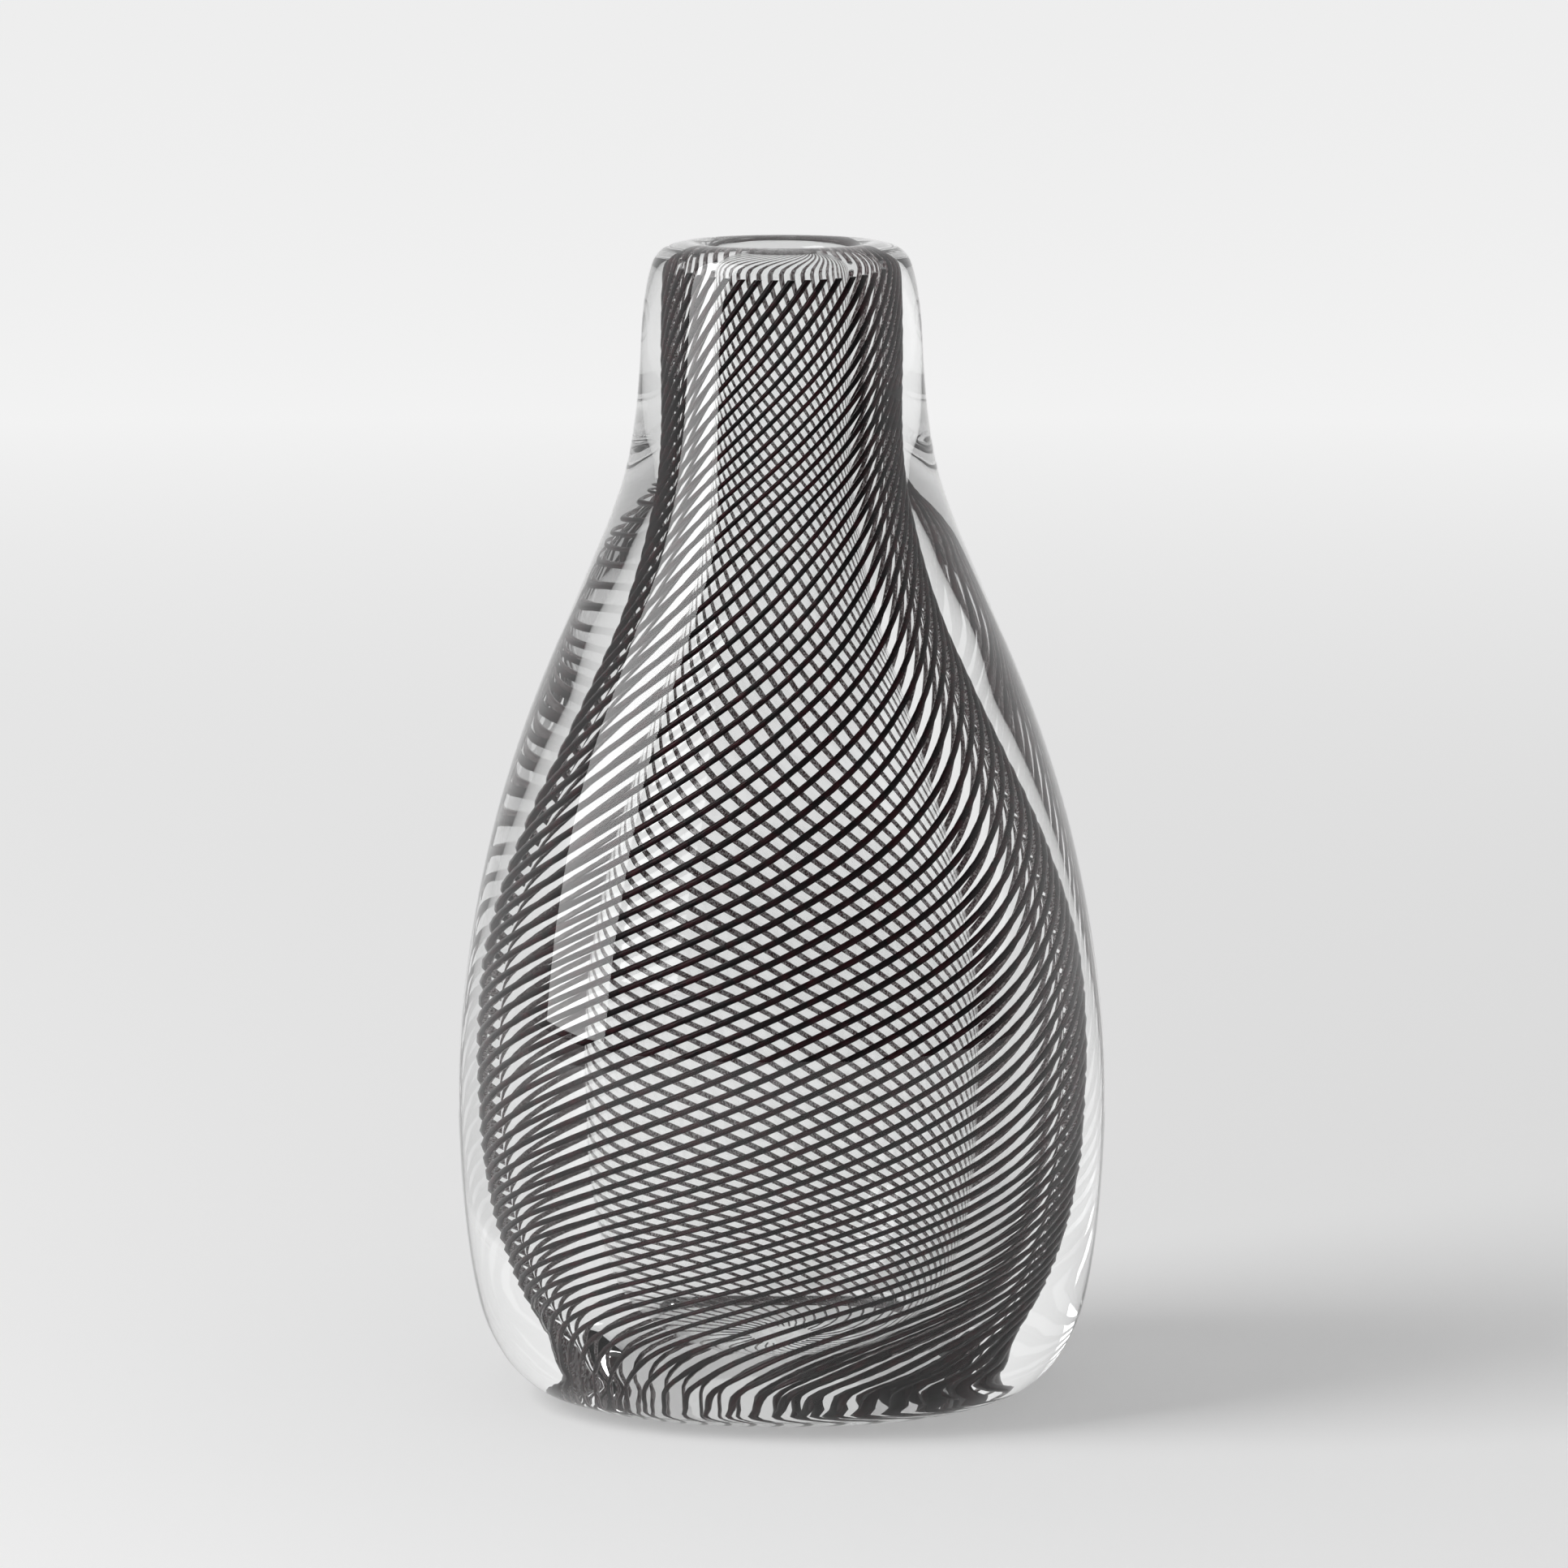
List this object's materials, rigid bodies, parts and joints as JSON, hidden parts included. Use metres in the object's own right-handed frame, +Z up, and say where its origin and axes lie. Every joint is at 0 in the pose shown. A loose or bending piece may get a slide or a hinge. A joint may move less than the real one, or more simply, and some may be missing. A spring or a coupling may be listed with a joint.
{
  "type": "glass vase",
  "caption": "Heavy bottle-shaped vase of cased glass: a thick clear casing and thin clear lining with dark twisted canes between them.",
  "frame": {"origin": "centre of the flat foot, on the surface that the vase stands on", "axes": "+Z up through the mouth, +X along the wider side of the body, +Y along its shorter side, towards the back"},
  "size_m": [0.117, 0.1052, 0.2091],
  "materials": {
    "clear_glass": "fire-polished, smooth and glossy",
    "amethyst_glass": "near-black amethyst glass, smooth"
  },
  "bodies": {
    "root": {"outer_casing": "clear_glass", "inner_lining": "clear_glass", "cane_01": "amethyst_glass", "cane_02": "amethyst_glass", "cane_03": "amethyst_glass", "cane_04": "amethyst_glass", "cane_05": "amethyst_glass", "cane_06": "amethyst_glass", "cane_07": "amethyst_glass", "cane_08": "amethyst_glass", "cane_09": "amethyst_glass", "cane_10": "amethyst_glass", "cane_11": "amethyst_glass", "cane_12": "amethyst_glass", "cane_13": "amethyst_glass", "cane_14": "amethyst_glass", "cane_15": "amethyst_glass", "cane_16": "amethyst_glass", "cane_17": "amethyst_glass", "cane_18": "amethyst_glass", "cane_19": "amethyst_glass", "cane_20": "amethyst_glass", "cane_21": "amethyst_glass", "cane_22": "amethyst_glass", "cane_23": "amethyst_glass", "cane_24": "amethyst_glass", "cane_25": "amethyst_glass", "cane_26": "amethyst_glass", "cane_27": "amethyst_glass", "cane_28": "amethyst_glass", "cane_29": "amethyst_glass", "cane_30": "amethyst_glass", "cane_31": "amethyst_glass", "cane_32": "amethyst_glass", "cane_33": "amethyst_glass", "cane_34": "amethyst_glass"}
  },
  "joints": []
}
